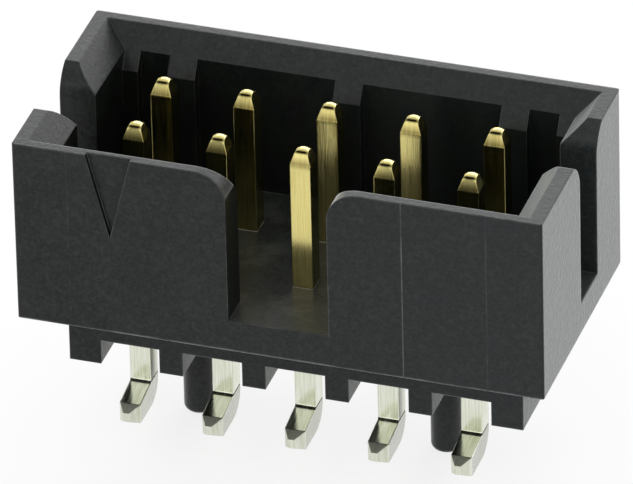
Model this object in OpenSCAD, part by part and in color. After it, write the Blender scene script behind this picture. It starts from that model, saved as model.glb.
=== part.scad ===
// Shrouded two-row box header for a ribbon-cable socket, surface mount, with two board pegs.
// Millimetres. The origin lies on the board's top face, at the centre of the contact field.
// +X runs along the rows, -Y is the side with the key notch, and +Z points out of the shroud.

/* [Contact field] */
// Contacts in each of the two rows
columns = 5; // [4:1:8]
// Distance between neighbouring contacts along a row
pitch = 2; // [1.9:0.05:2.3]
// Distance between the two rows
row_pitch = 2; // [1.9:0.05:2.1]

/* [Contacts] */
// Side of the square contact wire
wire = 0.5; // [0.45:0.01:0.55]
// Height of the contact tips above the cavity floor
contact_h = 3.62; // [3.2:0.01:3.7]
// Length of the tapered tip
tip_l = 0.35; // [0.3:0.01:0.5]
// Width across the flats of the tip where it ends
tip_w = 0.26; // [0.2:0.01:0.3]
// Radius of the shallow dome that crowns the tip
dome_r = 0.3; // [0.28:0.01:0.4]
// Inner radius of the bend above the foot
bend_r = 0.06; // [0.04:0.01:0.3]
// How far the foot's top face rises from its pointed end to the bend, where the wire is pressed together
heel_rise = 0.12; // [0.02:0.01:0.2]
// Reach of the foot, from the contact's axis to its end
foot_reach = 1.38; // [1.3:0.01:1.8]
// Length of the pointed end of the foot
point_l = 0.33; // [0.2:0.01:0.4]
// Width of the end face of the foot
point_w = 0.14; // [0.1:0.01:0.3]
// Height of the end face of the foot
point_h = 0.22; // [0.1:0.01:0.3]
// Fall of the pointed end's top face
point_drop = 0.08; // [0.03:0.01:0.14]
// Gap on each side between a contact and its hole, none where it is pressed in
contact_fit = 0; // [0:0.005:0.02]

/* [Shroud] */
// Distance from the last contact's axis to the outer end face
end_margin = 2.3; // [2.2:0.01:2.8]
// Width across the two long walls
body_w = 6.1; // [5.9:0.01:6.6]
// Height of the shroud, from its lower edge to its rim
shroud_h = 4.67; // [4.55:0.01:6]
// Height of the cavity floor above the shroud's lower edge
floor_h = 0.8; // [0.6:0.01:0.9]
// Thickness of the long walls at their ribs
wall = 0.87; // [0.8:0.01:1]
// Thickness of the end walls
end_wall = 0.87; // [0.7:0.01:1]
// Width of the flat rim on the long walls
rim_w = 0.26; // [0.15:0.01:0.35]
// Width of the flat rim on the end walls
end_rim_w = 0.34; // [0.2:0.01:0.45]
// Height of the lead-in slope on the long walls
lead_h = 0.97; // [0.5:0.01:1.2]
// Height of the lead-in slope on the end walls
end_lead_h = 0.55; // [0.3:0.01:1]
// Radius of the outer upright corners
corner_r = 0.06; // [0.03:0.01:0.3]

/* [Wall recesses] */
// Depth of the recesses between the ribs
recess_d = 0.27; // [0.1:0.01:0.35]
// Width of each rib
rib_w = 0.67; // [0.4:0.01:0.9]
// Length of full wall beside each inner corner
corner_post = 0.38; // [0.2:0.01:0.5]
// Length of full wall beside the key notch
notch_post = 0.5; // [0.3:0.01:0.8]

/* [Key notch] */
// Width of the key notch
notch_w = 2.4; // [2:0.05:2.6]
// Radius of the notch's upper corners
notch_r = 0.75; // [0.3:0.01:0.9]

/* [End slots] */
// Width of the slot in each end wall
slot_w = 1.3; // [1:0.05:1.5]
// Place of the left slot's centre across the body
left_slot_y = -0.35; // [-0.6:0.01:0.6]
// Place of the right slot's centre across the body
right_slot_y = 0.54; // [-0.6:0.01:0.6]
// Radius of the curve that widens each slot towards the rim
flare_r = 0.85; // [0.8:0.01:1.2]
// Height of that curve below the rim
flare_h = 0.75; // [0.4:0.01:0.8]

/* [Pin 1 mark] */
// Width of the triangle at the rim
mark_w = 1.07; // [0.6:0.01:1.2]
// Height of the triangle
mark_h = 2.14; // [1:0.01:2.5]
// Depth of the triangle
mark_d = 0.12; // [0.04:0.01:0.15]

/* [Base and standoffs] */
// Width of the base under the shroud
base_w = 3.93; // [3.7:0.01:4.4]
// Distance from the last contact's axis to the base's end face
base_margin = 1.46; // [1.3:0.01:1.7]
// Height of the base below the shroud's lower edge
base_h = 1.03; // [0.6:0.01:1.4]
// Width of each standoff between two columns
standoff_w = 0.56; // [0.4:0.01:0.8]
// Width of each standoff at the ends of the base
end_standoff_w = 0.76; // [0.5:0.01:0.9]
// Length across the body of each standoff between two columns
standoff_l = 1; // [0.8:0.01:1.2]
// Length across the body of each standoff at the ends of the base
end_standoff_l = 1.4; // [1:0.01:1.6]
// Height of the standoffs
standoff_h = 0.63; // [0.3:0.01:0.9]
// Gap between the standoffs and the board
board_gap = 1.41; // [1:0.01:1.6]

/* [Locating pegs] */
// Diameter of the pegs
peg_d = 0.75; // [0.6:0.01:0.9]
// Reach of the pegs below the board's top face
peg_reach = 0.7; // [0.3:0.01:1.2]
// Radius round the end of each peg
peg_round = 0.16; // [0.05:0.01:0.25]

/* [Hidden] */
// Facets of a full circle
$fn = 64;
// How far a cutter runs past the face that it opens, and a join into its neighbour
past = 0.1;

// Lengths along the rows
span = (columns - 1) * pitch;
body_l = span + 2 * end_margin;
base_l = span + 2 * base_margin;
inner_l = body_l - 2 * end_wall;
peg_x = (span - pitch) / 2;

// Widths across the rows
inner_w = body_w - 2 * wall;
rim_half_l = body_l / 2 - end_rim_w;
rim_half_w = body_w / 2 - rim_w;

// Heights above the board
base_z = board_gap + standoff_h;
skirt_z = base_z + base_h;
floor_z = skirt_z + floor_h;
rim_z = skirt_z + shroud_h;
tip_z = floor_z + contact_h;
bend_z = wire + heel_rise + bend_r;

// Run of full height per millimetre of run on the long walls' lead-in
lead_slope = lead_h / (wall - rim_w);
// Where the pointed end of a foot starts
point_y = foot_reach - point_l;

// Recesses along the back wall and, clear of the key notch, along the front wall: [from, to]
rib_edge = (span - rib_w) / 2;
corner_recess = [(span + rib_w) / 2, inner_l / 2 - corner_post];
back_recess = [rib_w / 2, rib_edge];
front_recess = [notch_w / 2 + notch_post, rib_edge];

CONTACTS = 2 * columns;

function column_x(i) = (i - (columns - 1) / 2) * pitch;

// Carries a profile drawn in Y and Z along X, centred
module along_x(length) {
    rotate([90, 0, 90])
        linear_extrude(length, center = true)
            children();
}

// Carries a profile drawn in X and Z along Y, centred
module along_y(length) {
    rotate([90, 0, 0])
        linear_extrude(length, center = true)
            children();
}

// Rectangle with round corners
module rounded_plan(l, w, r) {
    square([l - 2 * r, w], center = true);
    square([l, w - 2 * r], center = true);
    for (x = [-1, 1], y = [-1, 1])
        translate([x * (l / 2 - r), y * (w / 2 - r)])
            circle(r);
}

// Section of the cavity: upright sides, then a slope that opens to the inner edge of the rim
module cavity_section(half, rim_half, lead) {
    polygon([
        [-half, floor_z],
        [half, floor_z],
        [half, rim_z - lead],
        [rim_half, rim_z],
        [rim_half, rim_z + past],
        [-rim_half, rim_z + past],
        [-rim_half, rim_z],
        [-half, rim_z - lead]
    ]);
}

// The space that the socket plugs into, at rib level, with mitred lead-in slopes
module cavity() {
    intersection() {
        along_x(body_l)
            cavity_section(inner_w / 2, rim_half_w, lead_h);
        along_y(body_w)
            cavity_section(inner_l / 2, rim_half_l, end_lead_h);
    }
}

// One recess in the back wall's inner side, over a range of X: the same slope, cut back to a deeper face
module wall_recess(range) {
    deep = inner_w / 2 + recess_d;
    translate([(range[0] + range[1]) / 2, 0, 0])
        along_x(range[1] - range[0])
            polygon([
                [0, floor_z],
                [deep, floor_z],
                [deep, rim_z - (rim_half_w - deep) * lead_slope],
                [rim_half_w, rim_z],
                [rim_half_w, rim_z + past],
                [0, rim_z + past]
            ]);
}

// All the recesses, alike at both ends, with the front wall's kept clear of the key notch
module wall_recesses() {
    for (end = [0, 1])
        mirror([end, 0, 0]) {
            wall_recess(corner_recess);
            wall_recess(back_recess);
            mirror([0, 1, 0]) {
                wall_recess(corner_recess);
                wall_recess(front_recess);
            }
        }
}

// Outline of an upright slot from the cavity floor through the rim, with both upper corners curved outwards
module slot_outline(w, r, h) {
    flare = r - sqrt(r * r - h * h);
    translate([-w / 2, floor_z])
        square([w, rim_z - floor_z + past]);
    difference() {
        translate([-w / 2 - flare, rim_z - h])
            square([w + 2 * flare, h + past]);
        for (side = [-1, 1])
            translate([side * (w / 2 + r), rim_z - h])
                circle(r, $fn = 96);
    }
}

module key_notch() {
    translate([0, -body_w / 2, 0])
        along_y(2 * (wall + past))
            slot_outline(notch_w, notch_r, notch_r);
}

module end_slot(end, y) {
    translate([end * body_l / 2, y, 0])
        along_x(2 * (end_wall + past))
            slot_outline(slot_w, flare_r, flare_h);
}

// Shallow triangle in the front face that points down at pin 1
module pin_1_mark() {
    top = mark_w / 2 * (mark_h + past) / mark_h;
    translate([column_x(0), -body_w / 2, rim_z])
        along_y(2 * mark_d)
            polygon([[0, -mark_h], [top, past], [-top, past]]);
}

module contact_holes() {
    hole = wire + 2 * contact_fit;
    for (i = [0:columns - 1], side = [-1, 1])
        translate([column_x(i) - hole / 2, side * row_pitch / 2 - hole / 2, base_z - past])
            cube([hole, hole, floor_z - base_z + 2 * past]);
}

// One pad at the back edge of the base, and its twin at the front edge
module standoff_pair(x, w, l) {
    for (side = [0, 1])
        mirror([0, side, 0])
            translate([x - w / 2, base_w / 2 - l, board_gap])
                cube([w, l, standoff_h + past]);
}

module standoffs() {
    for (i = [0:columns - 2])
        standoff_pair(column_x(i) + pitch / 2, standoff_w, standoff_l);
    for (end = [-1, 1])
        standoff_pair(end * (base_l - end_standoff_w) / 2, end_standoff_w, end_standoff_l);
}

// Round peg with a rounded end, from inside the base to below the board's face
module peg(x) {
    translate([x, 0, -peg_reach])
        rotate_extrude() {
            square([peg_d / 2 - peg_round, peg_round]);
            translate([0, peg_round])
                square([peg_d / 2, base_z + peg_reach - peg_round + past]);
            intersection() {
                translate([peg_d / 2 - peg_round, peg_round])
                    circle(peg_round);
                square([peg_d / 2, peg_round]);
            }
        }
}

// The whole moulding: shroud and floor, recessed base, standoffs and pegs
module housing() {
    color("#2c2e2f")
        difference() {
            union() {
                translate([0, 0, skirt_z])
                    linear_extrude(shroud_h)
                        rounded_plan(body_l, body_w, corner_r);
                translate([-base_l / 2, -base_w / 2, base_z])
                    cube([base_l, base_w, base_h + past]);
                standoffs();
                peg(-peg_x);
                peg(peg_x);
            }
            cavity();
            wall_recesses();
            key_notch();
            end_slot(-1, left_slot_y);
            end_slot(1, right_slot_y);
            pin_1_mark();
            contact_holes();
        }
}

// Tapered end of the wire, the same from the front and from the side
module tip_outline() {
    polygon([
        [-wire / 2, tip_z - tip_l],
        [wire / 2, tip_z - tip_l],
        [tip_w / 2, tip_z],
        [-tip_w / 2, tip_z]
    ]);
}

// What crowning leaves of the tip: all that lies under a shallow dome, which takes off the upper corners
module tip_crown() {
    reach = foot_reach + wire;
    dome_base = tip_z - dome_r / 2;
    translate([0, 0, -past])
        cylinder(h = dome_base + past, r = reach);
    rotate_extrude()
        intersection() {
            translate([0, tip_z - dome_r])
                circle(dome_r);
            translate([0, dome_base - past])
                square([reach, dome_r]);
        }
}

// What carries the shaft round into the foot: a square block, rounded outside at the heel and inside the bend
module bend_outline() {
    turn = wire + bend_r;
    difference() {
        union() {
            translate([-wire / 2, turn])
                square([turn, heel_rise]);
            intersection() {
                translate([-wire / 2, 0])
                    square(turn);
                translate([wire / 2 + bend_r, turn])
                    circle(turn);
            }
        }
        translate([wire / 2 + bend_r, bend_z])
            circle(bend_r);
    }
}

// The contact from the side: tip, shaft, bend, foot and pointed end, in Y and Z
module contact_side() {
    tip_outline();
    translate([-wire / 2, bend_z])
        square([wire, tip_z - tip_l - bend_z]);
    bend_outline();
    polygon([
        [wire / 2 + bend_r, 0],
        [point_y, 0],
        [foot_reach, wire - point_drop - point_h],
        [foot_reach, wire - point_drop],
        [point_y, wire],
        [wire / 2 + bend_r, wire + heel_rise]
    ]);
}

// What the tip's taper leaves of the wire from the front, in X and Z, open wide below it
module contact_front() {
    tip_outline();
    translate([-wire, -past])
        square([2 * wire, tip_z - tip_l + past]);
}

// What the pointed end leaves of the wire from above, in X and Y, open wide behind it
module contact_plan() {
    translate([-wire, -wire])
        square([2 * wire, point_y + wire]);
    polygon([
        [-wire / 2, point_y],
        [wire / 2, point_y],
        [point_w / 2, foot_reach],
        [-point_w / 2, foot_reach]
    ]);
}

// Contact number n: odd numbers in the front row, with every foot turned outwards
module contact(n) {
    front = n % 2;
    x = column_x(floor((n - 1) / 2));
    color("#cdbb6a")
        translate([x, (front ? -1 : 1) * row_pitch / 2, 0])
            mirror([0, front, 0])
                intersection() {
                    along_x(wire)
                        contact_side();
                    along_y(2 * (foot_reach + past))
                        contact_front();
                    translate([0, 0, -past])
                        linear_extrude(tip_z + 2 * past)
                            contact_plan();
                    tip_crown();
                }
}

housing();
for (n = [1:CONTACTS])
    contact(n);
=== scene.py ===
# %% [markdown]
# # Shrouded box header
# A box header is a moulded plastic shroud with square contacts standing in it. Here the solids come ready
# made and are already the right shape, so this lesson is about finishes: a black glass-filled moulding with
# its mould marks, and metal wire that is gold plated at the mating end and tin plated at the feet.

# %% Load the solids
import bpy
import numpy as np
from mathutils import Matrix, Vector


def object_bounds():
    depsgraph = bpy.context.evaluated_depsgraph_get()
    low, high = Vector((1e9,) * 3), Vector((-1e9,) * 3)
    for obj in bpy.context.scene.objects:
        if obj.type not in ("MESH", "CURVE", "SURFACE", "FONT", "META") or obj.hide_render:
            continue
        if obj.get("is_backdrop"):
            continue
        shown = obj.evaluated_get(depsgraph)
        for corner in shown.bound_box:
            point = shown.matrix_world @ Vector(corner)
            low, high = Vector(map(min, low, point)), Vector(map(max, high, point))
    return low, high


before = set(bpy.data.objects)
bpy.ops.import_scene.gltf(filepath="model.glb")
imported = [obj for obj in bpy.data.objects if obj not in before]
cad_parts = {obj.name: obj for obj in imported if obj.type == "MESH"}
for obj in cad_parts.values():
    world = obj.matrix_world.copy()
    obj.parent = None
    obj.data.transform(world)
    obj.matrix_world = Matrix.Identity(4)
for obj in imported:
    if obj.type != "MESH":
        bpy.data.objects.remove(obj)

MM = 0.001
cad_low, cad_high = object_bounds()
print("solids:", sorted(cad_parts))
print("size in mm:", [round(v / MM, 2) for v in cad_high - cad_low])

# %% [markdown]
# ## Small helpers
# Colours are written as the hex values that a painter would read off a swatch, and one function turns them
# into the linear numbers that light is added up in. One more function adds a node, gives it its settings
# and wires its inputs, so every material below reads as a list of nodes. An input can be a number or a
# colour, a socket, or a whole node, and then the node's result is what is wired.


# %% Colour and node helpers
def linear(hex_code):
    """sRGB hex to linear: c / 12.92 up to 0.04045, ((c + 0.055) / 1.055) ^ 2.4 above it, and alpha 1."""
    out = []
    for i in (0, 2, 4):
        c = int(hex_code[i:i + 2], 16) / 255
        out.append(c / 12.92 if c <= 0.04045 else ((c + 0.055) / 1.055) ** 2.4)
    return (*out, 1.0)


def add(tree, kind, settings=None, inputs=None):
    """Add a node; settings are its properties, inputs are values, sockets or nodes to take the result of."""
    node = tree.nodes.new(kind)
    for name, value in (settings or {}).items():
        setattr(node, name, value)
    for name, value in (inputs or {}).items():
        if isinstance(value, bpy.types.Node):
            value = value.outputs["Result" if value.bl_idname == "ShaderNodeMix" else 0]
        if isinstance(value, bpy.types.NodeSocket):
            tree.links.new(value, node.inputs[name])
        else:
            node.inputs[name].default_value = value
    return node


def new_material(name):
    """An empty node material and its node tree."""
    mat = bpy.data.materials.new(name)
    mat.use_nodes = True
    mat.node_tree.nodes.clear()
    return mat, mat.node_tree


print("mid grey 808080 is", round(linear("808080")[0], 3), "in linear light")

# %% [markdown]
# ## Camera
# A part this small is best shown from far off through a long lens, which keeps its edges nearly parallel.
# The camera looks down at the long side with the key notch, a little from the right.

# %% Camera
AIM = Vector((-0.241, 0.529, 3.984)) * MM
STAND = Vector((75.90, -225.82, 155.10)) * MM
RIGHT = Vector((0.9517, 0.3065, -0.0205))
LENS = 699.6
SENSOR_WIDTH = 36

camera = bpy.data.objects.new("camera", bpy.data.cameras.new("camera"))
bpy.context.scene.collection.objects.link(camera)
back = (STAND - AIM).normalized()
right = (RIGHT - back * RIGHT.dot(back)).normalized()
up = back.cross(right)
camera.matrix_world = Matrix.Translation(STAND) @ Matrix((right, up, back)).transposed().to_4x4()
camera.data.sensor_width = SENSOR_WIDTH
camera.data.lens = LENS
camera.data.clip_start = 0.01
camera.data.clip_end = 10
bpy.context.scene.camera = camera
print("camera distance in mm:", round((STAND - AIM).length / MM, 1))

# %% [markdown]
# ## Surround
# Black plastic and bright metal are both shown by what they mirror. A white tent is the usual answer: the
# floor and the surround are white, so each edge that turns towards them picks up a soft bright line. The
# world is white to the camera and in reflections, and a plain level grey to everything else.

# %% World
world = bpy.data.worlds.new("studio")
bpy.context.scene.world = world
world.use_nodes = True
tree = world.node_tree
tree.nodes.clear()
path = add(tree, "ShaderNodeLightPath")
seen = add(tree, "ShaderNodeMath", {"operation": "MAXIMUM"},
           {0: path.outputs["Is Camera Ray"], 1: path.outputs["Is Glossy Ray"]})
seen = add(tree, "ShaderNodeMath", {"operation": "MAXIMUM"},
           {0: seen, 1: path.outputs["Is Transmission Ray"]})
dim = add(tree, "ShaderNodeBackground", None, {"Color": linear("ffffff"), "Strength": 0.85})
white = add(tree, "ShaderNodeBackground", None, {"Color": linear("ffffff"), "Strength": 1.0})
mix = add(tree, "ShaderNodeMixShader", None, {0: seen, 1: dim, 2: white})
add(tree, "ShaderNodeOutputWorld", None, {"Surface": mix})
print("world nodes:", len(tree.nodes))

# %% [markdown]
# ## Lamps
# A soft lamp from the left gives the form a direction. A wide one behind stands where the flat rim mirrors
# it, which draws the rim as a pale line. A low one in front stands near where the tapered front flanks of
# the contact tips mirror it, and they are matt enough to catch it.


# %% Lamps
def soft_lamp(name, place, width, height, watts, aim):
    """A soft box of width by height at place, facing aim, all in mm."""
    data = bpy.data.lights.new(name, "AREA")
    data.shape = "RECTANGLE"
    data.size = width * MM
    data.size_y = height * MM
    data.energy = watts
    lamp = bpy.data.objects.new(name, data)
    bpy.context.scene.collection.objects.link(lamp)
    lamp.location = Vector(place) * MM
    lamp.rotation_mode = "QUATERNION"
    lamp.rotation_quaternion = ((Vector(aim) - Vector(place)) * MM).to_track_quat("-Z", "Y")
    return lamp


RIM_Z = cad_high.z / MM
lamps = [
    soft_lamp("key_box", (-120, -60, 200), 120, 120, 0.04, (0, 0, 4)),
    soft_lamp("back_box", (20, 180, 85), 260, 130, 0.24, (0, 0, RIM_Z)),
    soft_lamp("front_box", (-50, -190, 66), 170, 50, 0.035, (0, 0, RIM_Z)),
]
print("lamps:", [lamp.name for lamp in lamps])

# %% [markdown]
# ## Floor
# The floor is a sheet of white paper. It keeps a faint shadow, but the camera and the gloss on the part see
# it mostly as a light of its own, so that it stays white to the edge of the view without more light on the
# object.

# %% Floor
FLOOR_REACH = 0.6
low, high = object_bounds()
corners = np.array([[-1, -1], [1, -1], [1, 1], [-1, 1]]) * FLOOR_REACH
floor_mesh = bpy.data.meshes.new("floor")
floor_mesh.from_pydata(np.c_[corners, np.full(4, low.z)].tolist(), [], [(0, 1, 2, 3)])
floor = bpy.data.objects.new("floor", floor_mesh)
bpy.context.scene.collection.objects.link(floor)
floor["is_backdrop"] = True
print("floor at z =", round(low.z / MM, 2), "mm")

# %% Floor material
# White paper: a matt sheet with a fine, even tooth, drawn coarser than real fibres so that it shows at all.
TOOTH = 1.1
mat, tree = new_material("white_paper_floor")
place = add(tree, "ShaderNodeTexCoord").outputs["Object"]
noise = add(tree, "ShaderNodeTexNoise", None, {"Vector": place, "Scale": 1 / (TOOTH * MM), "Detail": 2.0})
tone = add(tree, "ShaderNodeMix", {"data_type": "RGBA"},
           {"Factor": noise, "A": linear("fdfdfd"), "B": linear("ffffff")})
paper = add(tree, "ShaderNodeBsdfDiffuse", None, {"Color": tone})
glow = add(tree, "ShaderNodeEmission", None, {"Color": linear("ffffff"), "Strength": 1.0})
path = add(tree, "ShaderNodeLightPath")
mirrored = add(tree, "ShaderNodeMath", {"operation": "MAXIMUM"},
               {0: path.outputs["Is Glossy Ray"], 1: path.outputs["Is Transmission Ray"]})
lifted = add(tree, "ShaderNodeMixShader", None, {0: 0.8, 1: paper, 2: glow})
shown = add(tree, "ShaderNodeMixShader", None, {0: path.outputs["Is Camera Ray"], 1: paper, 2: lifted})
surface = add(tree, "ShaderNodeMixShader", None, {0: mirrored, 1: shown, 2: glow})
add(tree, "ShaderNodeOutputMaterial", None, {"Surface": surface})
floor_mesh.materials.append(mat)
print("floor nodes:", len(tree.nodes))

# %% [markdown]
# ## Housing: black glass-filled moulding
# A header that goes through a solder oven is moulded in a heat-proof nylon or polyester with about a third
# of glass fibre. The black is nearly as dark as plastic gets, and what the eye reads is the skin: fibre
# ends bloom near it in faint flecks, and at a grazing angle the whole skin turns a matt grey, which is what
# sheen is for. The mould leaves its own marks: upright witness lines on the front where its inserts meet, a
# thin flash along the skirt's lower edge, and rounded edges. The edges and the flash are painted paler, as a
# painted highlight with some wear. Each is a mask worked out from Object coordinates, in the part's own
# millimetres: X runs along the rows, -Y is the side with the key notch, and Z is the height above the board.

# %% Masks for the housing
FRONT_Y = cad_low.y / MM
HALF_LENGTH = cad_high.x / MM
SKIRT_Z = 3.07
CAVITY_FLOOR_Z = 3.87
INSERT_LINES = {-5.0: 0.15, 2.97: 0.7, 4.97: 0.2}
INSERT_LINE_HALF_WIDTH = 0.022
FLASH_HALF_WIDTH = 0.05
FRONT_DEPTH = 0.05
FLOOR_DEPTH = 0.03


def band(tree, coordinate, centre, half_width):
    """A mask that is 1 where the coordinate is at centre and falls to 0 at half_width from it, in mm."""
    off = add(tree, "ShaderNodeMath", {"operation": "SUBTRACT"}, {0: coordinate, 1: centre * MM})
    far = add(tree, "ShaderNodeMath", {"operation": "ABSOLUTE"}, {0: off})
    return add(tree, "ShaderNodeMapRange", None,
               {"Value": far, "From Max": half_width * MM, "To Min": 1.0, "To Max": 0.0})


print("witness lines and their strength:", INSERT_LINES)

# %% [markdown]
# The Bevel node looks at the corners near a point and gives the normal that a rounded edge would have. Fed
# to the shader it rounds every moulded edge by a few hundredths of a millimetre, and where it departs from
# the true normal the edge is close, which makes the mask for the paler edges, a painted highlight with some
# wear. The witness lines and the flash join that mask, the flash also painted pale as a highlight, and slow
# noise breaks them all up, as wear and the mould's own age do.


# %% Painted edge highlight, wear and mould marks
def highlight_and_mould_marks(tree, split, rounded, true_normal, cloud):
    """A mask of the edges, the witness lines and the flash: the largest of the three, broken up by cloud."""
    # The paler edges and the flash are a painted highlight, with some wear.
    facing = add(tree, "ShaderNodeVectorMath", {"operation": "DOT_PRODUCT"}, {0: rounded, 1: true_normal})
    edge = add(tree, "ShaderNodeMapRange", None,
               {"Value": facing.outputs["Value"], "From Min": 0.98, "From Max": 0.75, "To Max": 0.5})
    broken = add(tree, "ShaderNodeMapRange", None,
                 {"Value": cloud, "From Min": 0.4, "From Max": 0.6, "To Min": 0.2})
    on_front = band(tree, split.outputs["Y"], FRONT_Y, FRONT_DEPTH)
    marks = [(band(tree, split.outputs["X"], x, INSERT_LINE_HALF_WIDTH), strength)
             for x, strength in INSERT_LINES.items()]
    marks.append((band(tree, split.outputs["Z"], SKIRT_Z, FLASH_HALF_WIDTH), 1.0))
    highlight_and_marks = add(tree, "ShaderNodeMath", {"operation": "MULTIPLY"}, {0: edge, 1: broken})
    for line, strength in marks:
        line = add(tree, "ShaderNodeMath", {"operation": "MULTIPLY"}, {0: line, 1: strength})
        line = add(tree, "ShaderNodeMath", {"operation": "MULTIPLY"}, {0: line, 1: on_front})
        line = add(tree, "ShaderNodeMath", {"operation": "MULTIPLY"}, {0: line, 1: broken})
        highlight_and_marks = add(tree, "ShaderNodeMath", {"operation": "MAXIMUM"}, {0: highlight_and_marks, 1: line})
    return highlight_and_marks


print("mould marks:", len(INSERT_LINES), "witness lines and the flash at z =", SKIRT_Z)

# %% [markdown]
# The colour is built up in layers over a black that turns a shade paler along the part. Clouds come from
# how the melt flowed, bloom is a pale haze that lies in patches on the cavity floor, and grain and mottle
# are fibre ends near the skin. The mould's marks lie on top, with the painted highlight on the edges and
# the flash. Glass fibres are about a hundredth of a millimetre thick, which is too fine to show, so grain
# and mottle are drawn as coarse as they need to be seen.

# %% Skin patterns
# Each pattern's size in mm, its detail and its roughness. Grain and mottle are coarser than real fibre ends.
SKIN_PATTERNS = {"grain": (0.08, 3.0, 0.6), "mottle": (0.15, 3.0, 0.6), "cloud": (0.9, 6.0, 0.65)}
print("skin patterns in mm:", {name: size for name, (size, _, _) in SKIN_PATTERNS.items()})


# %% Skin colour
BASE_BLACK = "050706"


def skin_colour(tree, split, true_normal, noise, highlight_and_marks, flecks):
    """Six layers of colour over black; flecks is how strongly the fibre ends show."""
    along = add(tree, "ShaderNodeMapRange", None,
                {"Value": split.outputs["X"],
                 "From Min": -HALF_LENGTH * MM, "From Max": HALF_LENGTH * MM})
    patches = {}
    for layer, (pattern, start, full, strength) in {
            "flow": ("cloud", 0.38, 0.62, 0.8), "bloom": ("cloud", 0.5, 0.68, 0.5),
            "fibre": ("grain", 0.35, 0.7, flecks), "speck": ("mottle", 0.48, 0.68, 0.4 * flecks)}.items():
        patches[layer] = add(tree, "ShaderNodeMapRange", None,
                             {"Value": noise[pattern], "From Min": start, "From Max": full,
                              "To Max": strength})
    facing_up = add(tree, "ShaderNodeSeparateXYZ", None, {"Vector": true_normal}).outputs["Z"]
    on_floor = add(tree, "ShaderNodeMath", {"operation": "MULTIPLY"},
                   {0: band(tree, split.outputs["Z"], CAVITY_FLOOR_Z, FLOOR_DEPTH), 1: facing_up})
    bloom = add(tree, "ShaderNodeMath", {"operation": "MULTIPLY"}, {0: patches["bloom"], 1: on_floor})
    tint = linear(BASE_BLACK)
    # The last layer is the pale edges and flash, a painted highlight with some wear, and the witness lines.
    for mask, shade in ((along, "1b1f22"), (patches["flow"], "181c18"), (bloom, "4e514c"),
                        (patches["fibre"], "2c302f"), (patches["speck"], "3a3e3c"), (highlight_and_marks, "6e7270")):
        tint = add(tree, "ShaderNodeMix", {"data_type": "RGBA"},
                   {"Factor": mask, "A": tint, "B": linear(shade)})
    return tint


print("the base black in linear light:", [round(c, 4) for c in linear(BASE_BLACK)[:3]])

# %% [markdown]
# The outside of the mould is spark eroded, which leaves a matt skin with sheen. The upright faces in the
# cavity, in the key notch and round the pin 1 triangle take a shaded copy of the same black, with no sheen,
# fewer flecks, less relief and sharper edges: it paints the shade that falls in these recesses. Two
# materials are made by one function for that reason. The index of refraction starts from nylon's 1.5 and is
# brought down to 1.3: head on, the skin then mirrors less than half as much of the white surround, and the
# black is deeper.


# %% Housing material
def moulding(name, sheen, flecks, relief_depth, edge_radius):
    """Black glass-filled plastic with flecks of the given strength; relief and rounded edges are in mm."""
    mat, tree = new_material(name)
    place = add(tree, "ShaderNodeTexCoord").outputs["Object"]
    split = add(tree, "ShaderNodeSeparateXYZ", None, {"Vector": place})
    noise = {pattern: add(tree, "ShaderNodeTexNoise", None,
                          {"Vector": place, "Scale": 1 / (size * MM), "Detail": detail, "Roughness": fade})
             for pattern, (size, detail, fade) in SKIN_PATTERNS.items()}
    rounded = add(tree, "ShaderNodeBevel", {"samples": 8}, {"Radius": edge_radius * MM})
    true_normal = add(tree, "ShaderNodeNewGeometry").outputs["Normal"]
    highlight_and_marks = highlight_and_mould_marks(tree, split, rounded, true_normal, noise["cloud"])
    tint = skin_colour(tree, split, true_normal, noise, highlight_and_marks, flecks)
    rough = add(tree, "ShaderNodeMapRange", None,
                {"Value": noise["grain"], "From Min": 0.35, "From Max": 0.65,
                 "To Min": 0.29, "To Max": 0.41})
    fine = add(tree, "ShaderNodeMath", {"operation": "ADD"}, {0: noise["grain"], 1: noise["cloud"]})
    broad = add(tree, "ShaderNodeMath", {"operation": "MULTIPLY"}, {0: noise["mottle"], 1: 1.2})
    relief = add(tree, "ShaderNodeMath", {"operation": "ADD"}, {0: fine, 1: broad})
    bump = add(tree, "ShaderNodeBump", None,
               {"Strength": 1.0, "Distance": relief_depth * MM, "Height": relief, "Normal": rounded})
    skin = add(tree, "ShaderNodeBsdfPrincipled", None,
               {"Base Color": tint, "Roughness": rough, "IOR": 1.3, "Sheen Weight": sheen,
                "Sheen Roughness": 0.3, "Sheen Tint": linear("f8fcfa"), "Normal": bump})
    add(tree, "ShaderNodeOutputMaterial", None, {"Surface": skin})
    print(name, "nodes:", len(tree.nodes))
    return mat


outer_skin = moulding("black_glass_filled_nylon", sheen=1.0, flecks=0.6,
                      relief_depth=0.0055, edge_radius=0.06)
# A shaded copy of the skin: no sheen and fewer flecks paint the shade in the cavity and other recesses.
shaded_skin = moulding("black_nylon_shaded_copy", sheen=0.0, flecks=0.15,
                     relief_depth=0.002, edge_radius=0.02)

# %% [markdown]
# ## Contacts: plated square wire
# The contacts are phosphor-bronze wire. A nickel underlayer carries a thin gold flash where the socket's
# springs touch, and matt tin where the feet are soldered. One material carries both, mixed by height: the
# change lies inside the moulded floor, where nobody sees it. Drawing the wire leaves fine lines along it,
# which run up the shaft and out along the foot. Real ones are a few thousandths of a millimetre apart, too
# fine to show, so they are drawn as coarse as they need to be seen.

# %% Plating
PLATING_Z = (2.6, 2.9)
LINE_WIDTH, LINE_LENGTH = 0.04, 1.2

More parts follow.
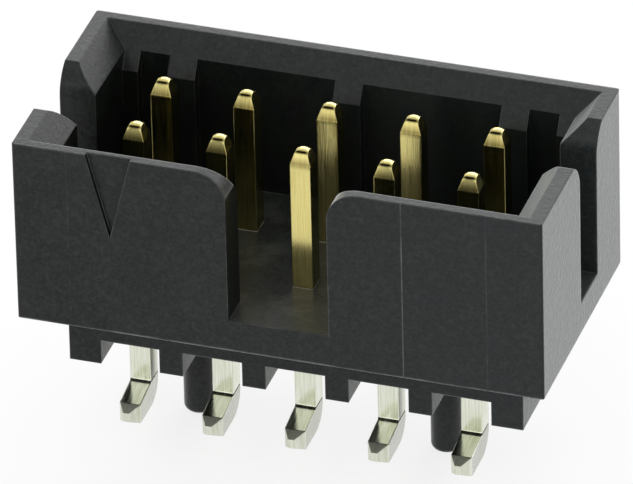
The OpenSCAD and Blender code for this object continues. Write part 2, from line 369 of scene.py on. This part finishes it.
contact_mat, tree = new_material("gold_and_tin_plated_wire")
place = add(tree, "ShaderNodeTexCoord").outputs["Object"]
split = add(tree, "ShaderNodeSeparateXYZ", None, {"Vector": place})
height = split.outputs["Z"]
is_gold = add(tree, "ShaderNodeMapRange", None,
              {"Value": height, "From Min": PLATING_Z[0] * MM, "From Max": PLATING_Z[1] * MM})
stretch = add(tree, "ShaderNodeMapping", None,
              {"Vector": place,
               "Scale": (1 / (LINE_WIDTH * MM), 1 / (LINE_LENGTH * MM), 1 / (LINE_LENGTH * MM))})
lines = add(tree, "ShaderNodeTexNoise", None,
            {"Vector": stretch, "Scale": 1.0, "Detail": 3.0, "Roughness": 0.7})
gold = add(tree, "ShaderNodeMix", {"data_type": "RGBA"},
           {"Factor": lines, "A": linear("b9a95a"), "B": linear("f8eca6")})
tin = add(tree, "ShaderNodeMix", {"data_type": "RGBA"},
          {"Factor": lines, "A": linear("aeb48a"), "B": linear("fcfdfa")})
drawn = add(tree, "ShaderNodeMapRange", None,
            {"Value": lines, "From Min": 0.3, "From Max": 0.7, "To Min": 0.12, "To Max": 0.22})
print("gold above z =", PLATING_Z[1], "and tin below z =", PLATING_Z[0])

# %% [markdown]
# The tip is pressed, not drawn, so its flanks are more matt and spread what they mirror. A dark line is
# painted where the flanks meet the dome that crowns the tip, a painted shade for the dark that the small
# step there mirrors. The gold is painted darker in streaks round the shoulder, where the taper starts, a
# painted shade for the wall that hides what the flanks would mirror there.

# %% Pressed tip
SHOULDER_Z, SHOULDER_BLEND = 7.14, 0.04
SHOULDER_SHADE_Z, SHOULDER_SHADE_HALF_WIDTH = SHOULDER_Z + 0.05, 0.16
CREASE_SHADE_Z, CREASE_SHADE_HALF_WIDTH = 7.455, 0.055

facing_y = add(tree, "ShaderNodeSeparateXYZ", None,
               {"Vector": add(tree, "ShaderNodeNewGeometry").outputs["Normal"]}).outputs["Y"]
turned = add(tree, "ShaderNodeMath", {"operation": "ABSOLUTE"}, {0: facing_y})
is_flank = add(tree, "ShaderNodeMapRange", None, {"Value": turned, "From Min": 0.2, "From Max": 0.4})
streak = add(tree, "ShaderNodeMapRange", None,
             {"Value": lines, "From Min": 0.3, "From Max": 0.7, "To Min": 0.85, "To Max": 0.45})
# Painted shade on the flanks: the dark line below the dome and the darker streaks round the shoulder.
for mark, strength, shade in ((band(tree, height, CREASE_SHADE_Z, CREASE_SHADE_HALF_WIDTH), 1.4, "150f02"),
                              (band(tree, height, SHOULDER_SHADE_Z, SHOULDER_SHADE_HALF_WIDTH), streak, "55440f")):
    mark = add(tree, "ShaderNodeMath", {"operation": "MULTIPLY"}, {0: mark, 1: is_flank})
    mark = add(tree, "ShaderNodeMath", {"operation": "MULTIPLY"}, {0: mark, 1: strength})
    gold = add(tree, "ShaderNodeMix", {"data_type": "RGBA"},
               {"Factor": mark, "A": gold, "B": linear(shade)})
is_tip = add(tree, "ShaderNodeMapRange", None,
             {"Value": height, "From Min": (SHOULDER_Z - SHOULDER_BLEND) * MM,
              "From Max": (SHOULDER_Z + SHOULDER_BLEND) * MM})
pressed = add(tree, "ShaderNodeMath", {"operation": "MULTIPLY"}, {0: is_tip, 1: is_flank})
rough = add(tree, "ShaderNodeMix", {"data_type": "FLOAT"}, {"Factor": pressed, "A": drawn, "B": 0.3})
print("tip pressed above z =", SHOULDER_Z)

# %% [markdown]
# The foot's pointed end is cut, so it is rougher than drawn wire. The foot's top rises from there to the
# bend, where the wire is pressed together. The relief slopes the other way by the same amount, which takes
# the rise back out of the shading, so that the top mirrors the lamp behind, as the level rim does.

# %% Foot
POINT_Y, POINT_BLEND = 2.05, 0.03
FOOT_RISE, FOOT_RUN = 0.12, 0.74
FOOT_SLOPE = FOOT_RISE / FOOT_RUN
FOOT_TOP = (0.62, 0.66)

across = add(tree, "ShaderNodeMath", {"operation": "ABSOLUTE"}, {0: split.outputs["Y"]})
is_toe = add(tree, "ShaderNodeMapRange", None,
             {"Value": across, "From Min": POINT_Y * MM, "From Max": (POINT_Y + POINT_BLEND) * MM})
rough = add(tree, "ShaderNodeMix", {"data_type": "FLOAT"}, {"Factor": is_toe, "A": rough, "B": 0.5})
is_foot = add(tree, "ShaderNodeMapRange", None,
              {"Value": height, "From Min": FOOT_TOP[1] * MM, "From Max": FOOT_TOP[0] * MM})
level = add(tree, "ShaderNodeMath", {"operation": "MINIMUM"}, {0: across, 1: POINT_Y * MM})
level = add(tree, "ShaderNodeMath", {"operation": "MULTIPLY"}, {0: level, 1: FOOT_SLOPE})
level = add(tree, "ShaderNodeMath", {"operation": "MULTIPLY"}, {0: level, 1: is_foot})
print("foot slope:", round(FOOT_SLOPE, 3))

# %% [markdown]
# The lines of the wire stand at most two thousandths of a millimetre high. Its edges are rounded by four
# hundredths, which gives each shaft a thin bright outline.

# %% Contact shader
LINE_DEPTH = 0.002
WIRE_EDGE = 0.04

colour = add(tree, "ShaderNodeMix", {"data_type": "RGBA"}, {"Factor": is_gold, "A": tin, "B": gold})
rounded = add(tree, "ShaderNodeBevel", {"samples": 8}, {"Radius": WIRE_EDGE * MM})
ridges = add(tree, "ShaderNodeMath", {"operation": "MULTIPLY"}, {0: lines, 1: LINE_DEPTH * MM})
relief = add(tree, "ShaderNodeMath", {"operation": "ADD"}, {0: ridges, 1: level})
bump = add(tree, "ShaderNodeBump", None,
           {"Strength": 1.0, "Distance": 1.0, "Height": relief, "Normal": rounded})
plate = add(tree, "ShaderNodeBsdfPrincipled", None,
            {"Base Color": colour, "Metallic": 1.0, "Roughness": rough, "Normal": bump})
add(tree, "ShaderNodeOutputMaterial", None, {"Surface": plate})
print("contact nodes:", len(tree.nodes))

# %% [markdown]
# ## Dressing the solids
# The ten contacts take the plated finish whole. The housing takes two: its upright faces inside the cavity,
# in the key notch and round the pin 1 triangle are found by where they lie and which way they face, and get
# the shaded copy of the skin, which paints the shade that falls there.

# %% Dress the solids
for name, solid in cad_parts.items():
    solid.data.materials.clear()
    for finish in (outer_skin, shaded_skin) if name == "housing" else (contact_mat,):
        solid.data.materials.append(finish)
print("finishes on each solid:", {name: len(solid.data.materials) for name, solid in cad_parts.items()})

# %% Housing faces that take the painted shade
CAVITY_HALF_LENGTH = 5.45
CAVITY_HALF_WIDTH = 2.47
NOTCH_HALF_WIDTH = 1.2
MARK_DEPTH = 0.12
CLOSE = 0.01

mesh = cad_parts["housing"].data
centre = np.empty(3 * len(mesh.polygons))
normal = np.empty(3 * len(mesh.polygons))
mesh.polygons.foreach_get("center", centre)
mesh.polygons.foreach_get("normal", normal)
x, y, z = centre.reshape(-1, 3).T / MM
nx, ny, nz = normal.reshape(-1, 3).T
in_cavity = (np.abs(x) < CAVITY_HALF_LENGTH) & (np.abs(y) < CAVITY_HALF_WIDTH)
in_notch = (np.abs(x) <= NOTCH_HALF_WIDTH + CLOSE) & (y < -CAVITY_HALF_WIDTH)
in_mark = (y < FRONT_Y + MARK_DEPTH) & (np.abs(nx) > 0.5)
upright = (np.abs(nz) < 0.3) & (z > CAVITY_FLOOR_Z)
is_front = (y < FRONT_Y + CLOSE) & (ny < -0.9)
# Faces where shade falls get the shaded copy of the skin, which paints that shade.
in_shade = (in_cavity | in_notch | in_mark) & upright & ~is_front
mesh.polygons.foreach_set("material_index", in_shade.astype(np.int32))
print("dressed", len(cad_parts), "solids;", int(in_shade.sum()), "faces in the shaded copy of the skin")

# %% [markdown]
# ## View transform and sizes
# The Standard view shows a colour as it is written. The size of the finished part is printed, as the size
# of the solids was at the start.

# %% Finish
bpy.context.scene.view_settings.view_transform = "Standard"
low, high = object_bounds()
print("visual size in mm:", [round(v / MM, 2) for v in high - low])
